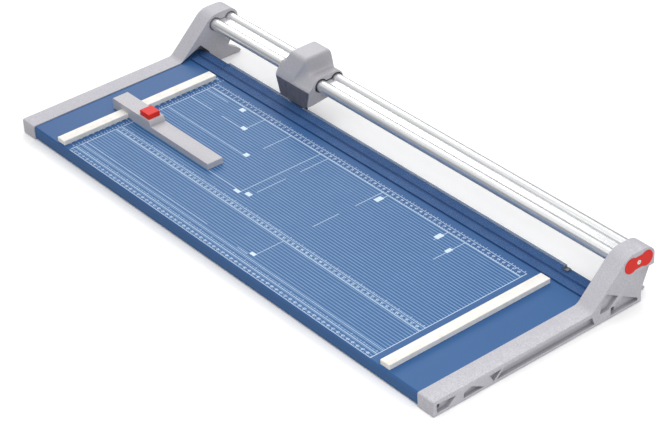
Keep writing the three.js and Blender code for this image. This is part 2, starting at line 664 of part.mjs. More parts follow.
// Distance from the middle of the head; `share` runs from 0 there to 1 at either end, and `side` is
// -1 on the left and 1 on the right.
function lengthAt(share, side, lean, neckDrawnIn) {
  const gripEnd = GRIP_HALF - side * lean;
  const coveEnd = Math.max(COVE_END, gripEnd + CUT);
  const middle = -side * lean;
  if (share <= GRIP_HALF_SHARE) return middle + (share / GRIP_HALF_SHARE) * (gripEnd - middle);
  if (share >= NECK_HALF_SHARE) {
    const along = (share - NECK_HALF_SHARE) / (1 - NECK_HALF_SHARE);
    return coveEnd + along * (HEAD_HALF - neckDrawnIn - coveEnd);
  }
  const turn = ((share - GRIP_HALF_SHARE) / (NECK_HALF_SHARE - GRIP_HALF_SHARE)) * (Math.PI / 2);
  return gripEnd + (1 - Math.cos(turn)) * (coveEnd - gripEnd);
}

function neckShareAt(share) {
  const turn = (share - GRIP_HALF_SHARE) / (NECK_HALF_SHARE - GRIP_HALF_SHARE);
  return Math.sin(THREE.MathUtils.clamp(turn, 0, 1) * (Math.PI / 2));
}

function headSurface(u, v, target) {
  const side = v <= 0.5 ? 1 : -1;
  if (v === 0 || v === 1) {
    // Each end closes on one point in its middle
    target.set(HEAD_X + side * HEAD_HALF, HEAD_END_CENTRE.y, HEAD_END_CENTRE.z);
    return;
  }
  const share = Math.min(Math.abs(2 * v - 1) * (1 + 2 / HEAD_STEPS), 1);
  const count = gripSection.length;
  const i = Math.round(u * count) % count;
  const [gripY, gripZ, lean] = gripSection[i];
  const [neckY, neckZ, neckDrawnIn] = neckSection[i];
  const neckShare = neckShareAt(share);
  target.set(
    HEAD_X + side * lengthAt(share, side, lean, neckDrawnIn),
    fromFront(gripY + (neckY - gripY) * neckShare),
    gripZ + (neckZ - gripZ) * neckShare,
  );
}
const headEnd = HEAD_X + HEAD_HALF;
const headStart = HEAD_X - HEAD_HALF;
const holderScrewXs = [HEAD_X - HOLDER_SCREW_X, HEAD_X + HOLDER_SCREW_X];
const pegXs = [HEAD_X - PEG_OFFSET, HEAD_X + PEG_OFFSET];

function makeHeadHousing() {
  return cut(
    solid(new ParametricGeometry(headSurface, gripSection.length, HEAD_STEPS)),
    // Bore for the rail, wider at both ends for the bushings
    extrude('x', railOutline(HEAD_BORE_CLEARANCE), headStart - CUT, headEnd + CUT),
    extrude('x', sleeveOutline(GAP), headEnd - BUSHING_LENGTH - GAP, headEnd + CUT),
    extrude('x', sleeveOutline(GAP), headStart - CUT, headStart + BUSHING_LENGTH + GAP),
    // Round cavity for the cutting wheel, open below
    pin('y', BLADE_Z, HEAD_X, BLADE_RADIUS + WHEEL_CLEARANCE, CAVITY_FRONT_Y, CAVITY_REAR_Y, WHEEL_ROUND),
    // Seat of the apron, with the holes of its locating pegs
    box(headStart - CUT, headEnd + CUT, APRON_FRONT_Y - CUT, APRON_BACK_Y + GAP,
      BELOW_HEAD_Z, APRON_TOP + GAP),
    ...pegXs.map((x) =>
      pin('y', PEG_Z, x, PEG_RADIUS + GAP, APRON_BACK_Y, PEG_END_Y + GAP, SHANK_ROUND)),
    // Pocket of the presser shoe
    box(SHOE.x0 - GAP, SHOE.x1 + GAP, APRON_BACK_Y, SHOE.y1 + GAP, BELOW_HEAD_Z, SHOE_POCKET_TOP),
    // Axle hole and the holder's screw holes
    pin('y', BLADE_Z, HEAD_X, AXLE_RADIUS + GAP, CAVITY_REAR_Y - CUT, AXLE_END_Y + GAP),
    ...holderScrewXs.map((x) =>
      pin('y', HOLDER_SCREW_Z, x, SCREW_RADIUS + GAP, CAVITY_REAR_Y - CUT, HOLDER.y0 + HOLDER_SCREW_LENGTH)),
  );
}

addPiece('carriage_housing', makeHeadHousing(), 'castGrey');

const bushingProfile = sleeveOutline();
bushingProfile.holes.push(new THREE.Path(railOutline(GAP).getPoints(LOBE_ROUND)));
addPiece('left_glide_bushing', extrude('x', bushingProfile, headStart, headStart + BUSHING_LENGTH), 'black');
addPiece('right_glide_bushing', extrude('x', bushingProfile, headEnd - BUSHING_LENGTH, headEnd), 'black');

function wheel(profile, y, segments = ROUND) {
  const points = profile.map(([r, along]) => new THREE.Vector2(r, along));
  return solid(new THREE.LatheGeometry(points, segments).translate(HEAD_X, y, BLADE_Z));
}

const axleRoom = pin('y', BLADE_Z, HEAD_X, AXLE_RADIUS + GAP, CAVITY_FRONT_Y - CUT, AXLE_END_Y);
const wheelProfile = [
  [0, 0], [BLADE_RADIUS, 0], [BLADE_RADIUS, BLADE_EDGE],
  [BLADE_RADIUS - BLADE_BEVEL, BLADE_THICKNESS], [0, BLADE_THICKNESS],
];
addPiece('cutting_wheel', cut(wheel(wheelProfile, BLADE_FRONT_Y, WHEEL_ROUND), axleRoom), 'steel');
const hubProfile = [
  [0, 0], [HUB_RADIUS - 0.5, 0], [HUB_RADIUS, 0.4], [HUB_RADIUS, HUB_THICKNESS], [0, HUB_THICKNESS],
];
addPiece('wheel_hub', cut(wheel(hubProfile, BLADE_FRONT_Y - GAP - HUB_THICKNESS), axleRoom), 'darkGrey');
const washerY = BLADE_FRONT_Y + BLADE_THICKNESS + GAP;
const washerProfile = [[2.8, 0], [3.6, 0], [6.2, 0.9], [6.2, 1.4], [5.4, 1.4], [2.8, 0.5], [2.8, 0]];
addPiece('wheel_spring_washer', wheel(washerProfile, washerY), 'steel');
addPiece('wheel_axle', pin('y', BLADE_Z, HEAD_X, AXLE_RADIUS, CAVITY_FRONT_Y + GAP, AXLE_END_Y), 'steel');

let holder = cut(
  box(HEAD_X - HOLDER.halfX, HEAD_X + HOLDER.halfX, HOLDER.y0, HOLDER.y1, HOLDER.z0, HOLDER.z1),
  axleRoom,
);
holderScrewXs.forEach((x, i) => {
  const top = HOLDER.y0;
  holder = cut(holder, pin('y', HOLDER_SCREW_Z, x, SCREW_RADIUS + GAP, top - CUT, HOLDER.y1 + CUT));
  const body = join(
    pin('y', HOLDER_SCREW_Z, x, HOLDER_SCREW_HEAD.radius,
      top - GAP - HOLDER_SCREW_HEAD.height, top - GAP, SHANK_ROUND),
    pin('y', HOLDER_SCREW_Z, x, SCREW_RADIUS, top - GAP, top + HOLDER_SCREW_LENGTH - CUT, SHANK_ROUND),
  );
  addPiece(`blade_holder_screw_${i + 1}`, body, 'steel');
});
addPiece('blade_holder', holder, 'darkSteel');

// One side of the apron, reaching from the joint to its tapered end.
function makeApron(side, jointX, pegX) {
  const end = HEAD_X + side * APRON_HALF;
  const face = polygon([
    [APRON_TOP, end],
    [APRON_BOTTOM, end - side * APRON_TAPER],
    [APRON_BOTTOM, jointX],
    [APRON_TOP, jointX],
  ]);
  return join(
    extrude('y', face, APRON_FRONT_Y, APRON_BACK_Y),
    pin('y', PEG_Z, pegX, PEG_RADIUS, APRON_BACK_Y - CUT, PEG_END_Y, SHANK_ROUND),
  );
}

addPiece('blade_cover', makeApron(-1, APRON_JOINT_X - GAP, pegXs[0]), 'darkGrey');
addPiece('front_guard', makeApron(1, APRON_JOINT_X + GAP, pegXs[1]), 'darkGrey');

const shoeBottom = CLAMP_RIB_TOP + GAP;
addPiece('presser_shoe', box(SHOE.x0, SHOE.x1, SHOE.y0, SHOE.y1, shoeBottom, SHOE.top), 'black');
const shoeSpring = spring(
  (SHOE.x0 + SHOE.x1) / 2, (SHOE.y0 + SHOE.y1) / 2,
  SHOE.top + GAP, SHOE_POCKET_TOP - GAP,
  SHOE_SPRING_COIL.radius, SHOE_SPRING_COIL.wire, SHOE_SPRING_COIL.turns,
);
addPiece('shoe_spring', shoeSpring, 'steel');

// ---------- backstop ----------

function makeBackstop() {
  const profile = new THREE.Shape();
  // Drawn in (Z, X), because it grows along Y
  profile.moveTo(TABLE_TOP + GAP, STOP_LEFT);
  profile.lineTo(TABLE_TOP + GAP, STOP_RIGHT);
  profile.lineTo(STOP_ARM_TOP - STOP_CHAMFER, STOP_RIGHT);
  profile.lineTo(STOP_ARM_TOP, STOP_RIGHT - STOP_CHAMFER);
  profile.lineTo(STOP_ARM_TOP, STOP_HEAD_RIGHT + STEP_LEAN);
  profile.lineTo(STOP_HEAD_TOP - STOP_CHAMFER, STOP_HEAD_RIGHT);
  profile.lineTo(STOP_HEAD_TOP, STOP_HEAD_RIGHT - STOP_CHAMFER);
  profile.lineTo(STOP_HEAD_TOP, STOP_LEFT + STOP_CHAMFER);
  profile.lineTo(STOP_HEAD_TOP - STOP_CHAMFER, STOP_LEFT);
  const front = STOP_Y - STOP_HALF_WIDTH;
  const rear = STOP_Y + STOP_HALF_WIDTH;
  return cut(
    extrude('y', profile, front, rear),
    // Channel over the left scale bar
    box(-SCALE_OUTER - GAP, -SCALE_INNER + GAP, front - CUT, rear + CUT, TABLE_TOP, SCALE_TOP + GAP),
    // Well of the lock button and the tunnel of the lock pawl
    box(BUTTON_X - BUTTON_HALF_X - GAP, BUTTON_X + BUTTON_HALF_X + GAP,
      STOP_Y - BUTTON_HALF_Y - GAP, STOP_Y + BUTTON_HALF_Y + GAP, WELL_FLOOR, STOP_HEAD_TOP + CUT),
    box(-SCALE_INNER - CUT, BUTTON_X - BUTTON_HALF_X,
      STOP_Y - PAWL.halfWidth - GAP, STOP_Y + PAWL.halfWidth + GAP, PAWL.bottom - GAP, PAWL.top + GAP),
  );
}

addPiece('backstop_body', makeBackstop(), 'castGrey');
const button = cut(
  box(BUTTON_X - BUTTON_HALF_X, BUTTON_X + BUTTON_HALF_X,
    STOP_Y - BUTTON_HALF_Y, STOP_Y + BUTTON_HALF_Y, BUTTON_BOTTOM, BUTTON_TOP),
  pin('z', BUTTON_X, STOP_Y, BUTTON_BORE.radius, BUTTON_BOTTOM - CUT, BUTTON_BORE.top),
);
addPiece('lock_button', button, 'red');
const buttonSpring = spring(
  BUTTON_X, STOP_Y, WELL_FLOOR + GAP, BUTTON_BORE.top - GAP,
  BUTTON_SPRING_COIL.radius, BUTTON_SPRING_COIL.wire, BUTTON_SPRING_COIL.turns,
);
addPiece('button_spring', buttonSpring, 'steel');
const lockPawl = box(
  -SCALE_INNER + GAP, BUTTON_X - BUTTON_HALF_X - PAWL.intoWell,
  STOP_Y - PAWL.halfWidth, STOP_Y + PAWL.halfWidth,
  PAWL.bottom, PAWL.top,
);
addPiece('lock_pawl', lockPawl, 'darkSteel');

for (const body of manifolds) body.delete();

export default part;
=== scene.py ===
import json
import math

import bmesh
import bpy
from mathutils import Matrix, Vector


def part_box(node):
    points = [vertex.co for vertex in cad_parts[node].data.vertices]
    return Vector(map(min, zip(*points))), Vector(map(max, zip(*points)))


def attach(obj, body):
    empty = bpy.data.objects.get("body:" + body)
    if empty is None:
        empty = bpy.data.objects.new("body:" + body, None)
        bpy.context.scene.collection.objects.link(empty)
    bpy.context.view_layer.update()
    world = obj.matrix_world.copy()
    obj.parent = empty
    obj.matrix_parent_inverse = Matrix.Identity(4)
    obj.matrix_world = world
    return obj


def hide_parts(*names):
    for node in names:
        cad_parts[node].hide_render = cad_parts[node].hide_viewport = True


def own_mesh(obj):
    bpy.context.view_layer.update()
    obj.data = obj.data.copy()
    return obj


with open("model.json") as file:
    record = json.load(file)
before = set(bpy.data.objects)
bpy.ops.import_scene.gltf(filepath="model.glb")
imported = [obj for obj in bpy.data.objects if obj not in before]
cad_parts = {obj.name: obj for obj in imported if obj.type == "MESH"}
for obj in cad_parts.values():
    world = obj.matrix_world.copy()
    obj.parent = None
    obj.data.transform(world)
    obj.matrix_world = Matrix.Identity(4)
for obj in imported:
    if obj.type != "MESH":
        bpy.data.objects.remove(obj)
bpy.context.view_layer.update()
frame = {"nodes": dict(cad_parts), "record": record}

MM = 0.001

# ---------- where things are, read from the frame ----------

rail_low, rail_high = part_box("guide_rail")
wheel_low, wheel_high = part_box("cutting_wheel")
head_low, head_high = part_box("carriage_housing")
clamp_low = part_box("clamp_strip")[0]
TABLE_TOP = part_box("table_top")[1].z
FRONT = -194 * MM  # front edge of the trimmer; the head and the print are laid out from it
LEFT = -469.25 * MM  # left edge that the print is laid out from
RAIL_Y = (rail_low.y + rail_high.y) / 2
RAIL_Z = (rail_low.z + rail_high.z) / 2
LOBE_RADIUS = (rail_high.z - rail_low.z) / 2
LOBE_OFFSET = (rail_high.y - rail_low.y) / 2 - LOBE_RADIUS
WEB_HALF = 4.3 * MM
LOBE_WALL = 1.8 * MM
LOBE_STEPS = 64
RAIL_GROOVE = 1.4 * MM  # width and depth of the fine groove where each lobe meets the web
SLEEVE_RADIUS = 11 * MM
SLEEVE_WEB_HALF = 5.2 * MM
WHEEL_X = (wheel_low.x + wheel_high.x) / 2
WHEEL_Z = (wheel_low.z + wheel_high.z) / 2
SHARP_ANGLE = math.radians(32)  # creases sharper than this stay sharp
CLEAR = 0.3 * MM  # running clearance between neighbouring pieces

# ---------- materials ----------

GRAIN_DEPTH = 0.2 * MM
SPECKLE_SCALE = 620
SPECKLE_SPREAD = (0.35, 0.65)
WEAR_EDGE = (0.53, 0.6)  # how convex an edge is where wear starts, and where it is full
WEAR_SCALE = 120
# Painted shade in pockets: samples of the occlusion that finds a pocket, and the openness at which that
# shade is full
POCKET_SHADE_SAMPLES = 8
POCKET_SHADE_FLOOR = 0.4  # openness that counts as deep inside a pocket
RAIL_STREAK = (0.6, 60, 60)

class Nodes:
    """A small builder for one material's node tree."""

    def __init__(self, name):
        self.material = bpy.data.materials.new(name)
        self.material.use_nodes = True
        self.tree = self.material.node_tree
        self.shader = self.tree.nodes["Principled BSDF"]
        self.output = self.tree.nodes["Material Output"]
        self.place = self.add("ShaderNodeTexCoord").outputs["Object"]

    def add(self, kind, **values):
        node = self.tree.nodes.new(kind)
        for key, value in values.items():
            setattr(node, key, value)
        return node

    def link(self, source, target):
        self.tree.links.new(source, target)

    def noise(self, scale, detail=3.0, stretch=(1, 1, 1), roughness=0.55):
        mapping = self.add("ShaderNodeMapping")
        mapping.inputs["Scale"].default_value = stretch
        self.link(self.place, mapping.inputs["Vector"])
        node = self.add("ShaderNodeTexNoise")
        node.inputs["Scale"].default_value = scale
        node.inputs["Detail"].default_value = detail
        node.inputs["Roughness"].default_value = roughness
        self.link(mapping.outputs["Vector"], node.inputs["Vector"])
        return node.outputs["Fac"]

    def spread(self, value, low, high, from_low=0.3, from_high=0.7):
        node = self.add("ShaderNodeMapRange")
        node.inputs["From Min"].default_value = from_low
        node.inputs["From Max"].default_value = from_high
        node.inputs["To Min"].default_value = low
        node.inputs["To Max"].default_value = high
        self.link(value, node.inputs["Value"])
        return node.outputs["Result"]

    def mix(self, factor, first, second):
        node = self.add("ShaderNodeMix", data_type="RGBA")
        self.link(factor, node.inputs["Factor"])
        for slot, colour in (("A", first), ("B", second)):
            target = [s for s in node.inputs if s.name == slot and s.type == "RGBA"][0]
            if isinstance(colour, tuple):
                target.default_value = (*colour, 1)
            else:
                self.link(colour, target)
        return [s for s in node.outputs if s.type == "RGBA"][0]

    def openness(self, reach, full):
        """0 deep inside the piece's own pockets, 1 on its open faces."""
        # Mask of the painted shade: occlusion by the piece's own shape
        node = self.add("ShaderNodeAmbientOcclusion", samples=POCKET_SHADE_SAMPLES, only_local=True)
        node.inputs["Distance"].default_value = reach
        return self.spread(node.outputs["AO"], 0, 1, POCKET_SHADE_FLOOR, full)

    def bump(self, height, strength, distance):
        node = self.add("ShaderNodeBump")
        node.inputs["Strength"].default_value = strength
        node.inputs["Distance"].default_value = distance
        self.link(height, node.inputs["Height"])
        self.link(node.outputs["Normal"], self.shader.inputs["Normal"])


def linear(red, green, blue):
    """An sRGB colour, 0 to 255, as linear light."""
    out = []
    for channel in (red, green, blue):
        c = channel / 255
        out.append(c / 12.92 if c <= 0.04045 else ((c + 0.055) / 1.055) ** 2.4)
    return tuple(out)


def finish(name, light, dark, roughness, metallic=0.0, grain=900, bump=0.12, stretch=(1, 1, 1),
           tone_scale=14, wear=None, specular=0.5, speckle=None, pocket_shade=None):
    """A surface with fine grain and slow tone changes.

    wear is the colour of rubbed edges, speckle that of small dots, and the last argument paints shade into
    pockets:
    the colour deep in a pocket, how far around the pocket is felt, and the openness at which the plain
    colour is back.
    """
    n = Nodes(name)
    tone = n.spread(n.noise(tone_scale, 3, stretch), 0, 1)
    colour = n.mix(tone, dark, light)
    if wear:
        geometry = n.add("ShaderNodeNewGeometry")
        edge = n.spread(geometry.outputs["Pointiness"], 0, 1, *WEAR_EDGE)
        patchy = n.add("ShaderNodeMath", operation="MULTIPLY")
        n.link(edge, patchy.inputs[0])
        n.link(n.spread(n.noise(WEAR_SCALE, 4), 0, 0.8), patchy.inputs[1])
        colour = n.mix(patchy.outputs["Value"], colour, wear)
    fine = n.noise(grain, 4, stretch)
    if speckle:
        dots = n.spread(n.noise(SPECKLE_SCALE, 2), 0, 1, *SPECKLE_SPREAD)
        colour = n.mix(dots, speckle, colour)
    # Painted shade: the colour darkens deep in the piece's own pockets and hollows
    if pocket_shade:
        pocket_shade_tone, reach, full = pocket_shade
        colour = n.mix(n.openness(reach, full), pocket_shade_tone, colour)
    n.link(colour, n.shader.inputs["Base Color"])
    n.link(n.spread(fine, roughness[0], roughness[1]), n.shader.inputs["Roughness"])
    n.shader.inputs["Metallic"].default_value = metallic
    n.shader.inputs["Specular IOR Level"].default_value = specular
    n.bump(fine, bump, GRAIN_DEPTH)
    return n.material


materials = {
    # The cast and moulded greys get painted shade in their pockets; the moulded grey's wide reach also
    # darkens the head's cove
    "bracket_grey": finish("cast_grey_paint", linear(203, 202, 208), linear(193, 192, 199),
                           (0.5, 0.7), grain=1400, bump=0.15, wear=linear(218, 217, 222),
                           speckle=linear(182, 181, 188), pocket_shade=(linear(146, 145, 152), 14 * MM, 0.9)),
    "moulded_grey": finish("moulded_grey_plastic", linear(203, 202, 207), linear(193, 191, 197),
                           (0.42, 0.6), grain=1600, bump=0.12, wear=linear(216, 216, 220),
                           speckle=linear(186, 184, 190), pocket_shade=(linear(120, 118, 124), 40 * MM, 1.0)),
    "blue_sheet": finish("blue_powder_coat", linear(58, 100, 152), linear(55, 96, 148),
                         (0.36, 0.42), grain=1500, bump=0.02, tone_scale=3, specular=0.15),
    "satin_aluminium": finish("satin_aluminium", linear(250, 251, 251), linear(224, 226, 229),
                              (0.28, 0.38), 0.85, grain=40, bump=0.05, stretch=RAIL_STREAK, tone_scale=9),
    "white_bar": finish("white_scale_bar", linear(246, 245, 242), linear(240, 238, 234),
                        (0.35, 0.5), grain=1200, bump=0.1, wear=linear(226, 220, 208)),
    "steel": finish("bright_steel", linear(190, 192, 196), linear(150, 153, 158),
                    (0.22, 0.4), 0.95, grain=700, bump=0.06),
    "blade_steel": finish("ground_blade_steel", linear(176, 179, 184), linear(140, 143, 149),
                          (0.16, 0.32), 0.97, grain=500, bump=0.08, stretch=(12, 1, 1)),
    "dark_steel": finish("blackened_steel", linear(70, 74, 82), linear(48, 51, 58),
                         (0.3, 0.48), 0.8, grain=600, bump=0.1, wear=linear(130, 134, 140)),
    "red_plastic": finish("red_plastic", linear(228, 42, 32), linear(216, 35, 26),
                          (0.42, 0.56), grain=1300, bump=0.12, wear=linear(226, 78, 64),
                          specular=0.3),
    "black_plastic": finish("black_plastic", linear(40, 40, 43), linear(28, 28, 31),
                            (0.4, 0.6), grain=1100, bump=0.2),
    "rubber": finish("rubber", linear(36, 36, 38), linear(24, 24, 26), (0.7, 0.9), grain=900, bump=0.5),
    # Dark smoked grey: the blade cover's own colour, and painted shade on the front guard, which covers
    # the head's lower front where its grey is in shade
    "dark_grey": finish("smoked_cover_and_painted_shade", linear(108, 105, 114), linear(84, 81, 90),
                        (0.3, 0.45), grain=1200, bump=0.12, wear=linear(126, 124, 130)),
}


# Darker lines along the clear strip: distance from its front edge, half-width and colour
STRIP_LINES = ((0, 1.4 * MM, linear(120, 140, 178)), (17 * MM, 2.0 * MM, linear(150, 168, 200)))
STRIP_IOR = 1.45


def clear_strip():
    """Blue-tinted clear plastic: the table shows through it, and its face still shines."""
    n = Nodes("tinted_clear_strip")
    cloud = n.spread(n.noise(30, 3), 0, 1)
    tint = n.mix(cloud, linear(246, 249, 252), linear(250, 252, 254))
    place = n.add("ShaderNodeSeparateXYZ")
    n.link(n.place, place.inputs["Vector"])
    for setback, half_width, line_colour in STRIP_LINES:
        middle = clamp_low.y + setback
        off_line = n.spread(place.outputs["Y"], -1, 1, middle - half_width, middle + half_width)
        distance = n.add("ShaderNodeMath", operation="ABSOLUTE")
        n.link(off_line, distance.inputs[0])
        tint = n.mix(n.spread(distance.outputs["Value"], 0, 1, 0.6, 1.0), line_colour, tint)
    clear = n.add("ShaderNodeBsdfTransparent")
    n.link(tint, clear.inputs["Color"])
    n.link(n.mix(cloud, linear(84, 124, 180), linear(96, 136, 190)), n.shader.inputs["Base Color"])
    fine = n.noise(500, 3)
    n.link(n.spread(fine, 0.22, 0.34), n.shader.inputs["Roughness"])
    n.shader.inputs["Specular IOR Level"].default_value = 0.3
    mixer = n.add("ShaderNodeMixShader")
    edge = n.add("ShaderNodeFresnel")
    edge.inputs["IOR"].default_value = STRIP_IOR
    n.link(n.spread(edge.outputs["Fac"], 0.14, 0.7, 0.0, 0.6), mixer.inputs["Fac"])
    n.link(clear.outputs["BSDF"], mixer.inputs[1])
    n.link(n.shader.outputs["BSDF"], mixer.inputs[2])
    n.link(mixer.outputs["Shader"], n.output.inputs["Surface"])
    return n.material


materials["clear_strip"] = clear_strip()
pale_screw = finish("nickel_screw", linear(240, 236, 226), linear(224, 219, 208), (0.3, 0.42), 0.3,
                    grain=700, bump=0.05)
print_bright = finish("print_ink_bright", linear(208, 225, 244), linear(192, 213, 237),
                      (0.4, 0.55), grain=900, bump=0.05, tone_scale=60, specular=0.15)
print_soft = finish("print_ink_soft", linear(118, 158, 198), linear(108, 148, 190),
                    (0.35, 0.5), grain=900, bump=0.05, tone_scale=40, specular=0.15)
print_block = finish("print_ink_white", linear(214, 232, 244), linear(200, 222, 238),
                     (0.4, 0.55), grain=900, bump=0.05, tone_scale=60)

# ---------- building helpers ----------

slot_of = {p["node"]: p["material_slot"] for p in frame["record"]["subparts"]}
body_of = {n: b for b, members in frame["record"]["behaviour"]["bodies"].items() for n in members}


def new_object(name, mesh):
    made = bpy.data.objects.new(name, mesh)
    bpy.context.scene.collection.objects.link(made)
    return made


def mesh_from(bm, name):
    mesh = bpy.data.meshes.new(name)
    bm.to_mesh(mesh)
    bm.free()
    return mesh


def baked(made):
    """A new mesh of an object as its modifiers or curve settings leave it."""
    bpy.context.view_layer.update()
    evaluated = made.evaluated_get(bpy.context.evaluated_depsgraph_get())
    return bpy.data.meshes.new_from_object(evaluated)


def shade(mesh, angle=SHARP_ANGLE):
    for face in mesh.polygons:
        face.use_smooth = True
    mesh.set_sharp_from_angle(angle=angle)


def settle(made, node, material=None):
    """Finish a piece that stands for a CAD node: material, body and material slot."""
    made.data.materials.clear()
    made.data.materials.append(material or materials[slot_of[node]])
    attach(made, body_of[node])
    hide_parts(node)
    return made


def soften(made, width, segments=2, angle=SHARP_ANGLE):
    bevel = made.modifiers.new("edge_round", "BEVEL")
    bevel.width = width
    bevel.segments = segments
    bevel.limit_method = "ANGLE"
    bevel.angle_limit = angle
    bevel.harden_normals = True
    bevel.use_clamp_overlap = True
    return made


def refined(node, width, segments=2, angle=SHARP_ANGLE):
    """A new piece with the CAD node's shape, its flats merged and its edges rounded."""
    bm = bmesh.new()
    bm.from_mesh(frame["nodes"][node].data)
    bmesh.ops.remove_doubles(bm, verts=bm.verts, dist=0.01 * MM)
    bmesh.ops.dissolve_limit(bm, angle_limit=math.radians(0.5), verts=bm.verts, edges=bm.edges)
    mesh = mesh_from(bm, node + "_visual")
    shade(mesh, angle)
    made = settle(new_object(node + "_visual", mesh), node)
    if width:
        soften(made, width, segments, angle)
    return made


def arc(centre, radius, start, end, steps):
    return [(centre[0] + radius * math.cos(start + (end - start) * i / steps),
             centre[1] + radius * math.sin(start + (end - start) * i / steps))
            for i in range(steps + 1)]


def circle(centre, radius, steps):
    return arc(centre, radius, 0, 2 * math.pi * (1 - 1 / steps), steps - 1)


def lobed(offset, radius, web_half, grow=0.0, groove=0.0):
    """Outline in (Y, Z) of two round lobes joined by a web, grooved where they meet if asked for."""
    radius += grow
    web_half += grow
    open_angle = math.asin(web_half / radius)
    rear = arc((RAIL_Y + offset, RAIL_Z), radius, open_angle - math.pi, math.pi - open_angle, LOBE_STEPS)
    front = arc((RAIL_Y - offset, RAIL_Z), radius, open_angle, 2 * math.pi - open_angle, LOBE_STEPS)
    if not groove:
        return rear + front
    reach = offset - radius * math.cos(open_angle)
    upper, lower = [], []
    for y in (reach, reach - groove, groove - reach, -reach):
        deep = groove if abs(y) == reach else 0
        upper.append((RAIL_Y + y, RAIL_Z + web_half - deep))
        lower.append((RAIL_Y - y, RAIL_Z - web_half + deep))
    return rear + upper + front + lower


def extruded(name, outlines, x0, x1, bevel=0.0):
    """A solid along X from outlines in (Y, Z); every outline after the first is a hole."""
    curve = bpy.data.curves.new(name, "CURVE")
    curve.dimensions = "2D"
    curve.fill_mode = "BOTH"
    curve.extrude = (x1 - x0) / 2 - bevel
    curve.bevel_depth = bevel
    curve.bevel_resolution = 2
    curve.offset = -bevel
    for outline in outlines:
        spline = curve.splines.new("POLY")
        spline.points.add(len(outline) - 1)
        for point, (a, b) in zip(spline.points, outline):
            point.co = (a, b, 0, 1)
        spline.use_cyclic_u = True
    temporary = new_object(name + "_outline", curve)
    mesh = baked(temporary)
    bpy.data.objects.remove(temporary)
    along = Matrix(((0, 0, 1, (x0 + x1) / 2), (1, 0, 0, 0), (0, 1, 0, 0), (0, 0, 0, 1)))
    mesh.transform(along)
    mesh.name = name
    bm = bmesh.new()
    bm.from_mesh(mesh)
    bmesh.ops.remove_doubles(bm, verts=bm.verts, dist=0.002 * MM)
    bmesh.ops.recalc_face_normals(bm, faces=bm.faces)
    bm.to_mesh(mesh)
    bm.free()
    shade(mesh)
    return new_object(name, mesh)


def turned(name, profile, centre, axis, steps=64):
    """A closed solid of revolution; its profile is a loop of (radius, distance along the axis)."""
    bm = bmesh.new()
    rings = []
    for radius, along in profile:
        ring = []
        for i in range(steps):
            turn = 2 * math.pi * i / steps
            ring.append(bm.verts.new((radius * math.cos(turn), radius * math.sin(turn), along)))
        rings.append(ring)
    for ring, following in zip(rings, rings[1:] + rings[:1]):
        for i in range(steps):
            j = (i + 1) % steps
            bm.faces.new((ring[i], ring[j], following[j], following[i]))
    bmesh.ops.remove_doubles(bm, verts=bm.verts, dist=0.001 * MM)
    bmesh.ops.dissolve_degenerate(bm, edges=bm.edges, dist=0.001 * MM)
    bmesh.ops.recalc_face_normals(bm, faces=bm.faces)
    mesh = mesh_from(bm, name)
    turn_to = Vector((0, 0, 1)).rotation_difference(Vector(axis)).to_matrix().to_4x4()
    mesh.transform(Matrix.Translation(centre) @ turn_to)
    shade(mesh)
    return new_object(name, mesh)


COIL_STEPS = 28  # in each turn of a spring
WIRE_SIDES = 10
FLAT_TURNS = 0.8  # wound flat at each end


def spring(node, wire, turns):
    """A compression spring of round wire that fills its CAD node's box, with its ends wound flat."""
    low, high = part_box(node)
    middle = (low + high) / 2
    radius = (high.x - low.x) / 2 - wire
    length = high.z - low.z - 2 * wire
    bm = bmesh.new()
    rings = []
    for i in range(turns * COIL_STEPS + 1):
        turn = 2 * math.pi * i / COIL_STEPS
        share = (i / COIL_STEPS - FLAT_TURNS) / (turns - 2 * FLAT_TURNS)
        share = min(max(share, 0), 1)
        centre = Vector((radius * math.cos(turn), radius * math.sin(turn), wire + share * length))
        outward = Vector((math.cos(turn), math.sin(turn), 0))
        ring = []
        for k in range(WIRE_SIDES):
            around = 2 * math.pi * k / WIRE_SIDES
            shift = outward * math.cos(around) + Vector((0, 0, 1)) * math.sin(around)
            ring.append(bm.verts.new(centre + shift * wire))
        rings.append(ring)
    for ring, following in zip(rings, rings[1:]):
        for k in range(WIRE_SIDES):
            m = (k + 1) % WIRE_SIDES
            bm.faces.new((ring[k], following[k], following[m], ring[m]))
    bm.faces.new(rings[0])
    bm.faces.new(list(reversed(rings[-1])))
    bmesh.ops.recalc_face_normals(bm, faces=bm.faces)
    mesh = mesh_from(bm, node + "_visual")
    mesh.transform(Matrix.Translation((middle.x, middle.y, low.z)))
    shade(mesh)
    return settle(new_object(node + "_visual", mesh), node)


# ---------- brackets, table and bars ----------

for side in ("left", "right"):
    refined(side + "_end_bracket", 1.0 * MM, 3)
    refined(side + "_scale_bar", 0.6 * MM, 3)
    for end in ("front", "rear"):
        refined(f"{side}_{end}_rubber_foot", 0.5 * MM, 3)
refined("table_top", 0.35 * MM, 2)
refined("lower_blade", 0.12 * MM, 1)
refined("clamp_strip", 0.3 * MM, 2)
refined("clamp_end_clip", 0.15 * MM, 2)
refined("backstop_body", 0.7 * MM, 3)
refined("lock_button", 1.3 * MM, 4)
refined("lock_pawl", 0.3 * MM, 2)
refined("blade_cover", 0.3 * MM, 2)
# The front guard's dark smoked grey is painted shade over the right of the head's lower front
refined("front_guard", 0.3 * MM, 2)
refined("presser_shoe", 0.5 * MM, 3)
refined("blade_holder", 0.2 * MM, 2)

# ---------- rail, plates and bushings ----------

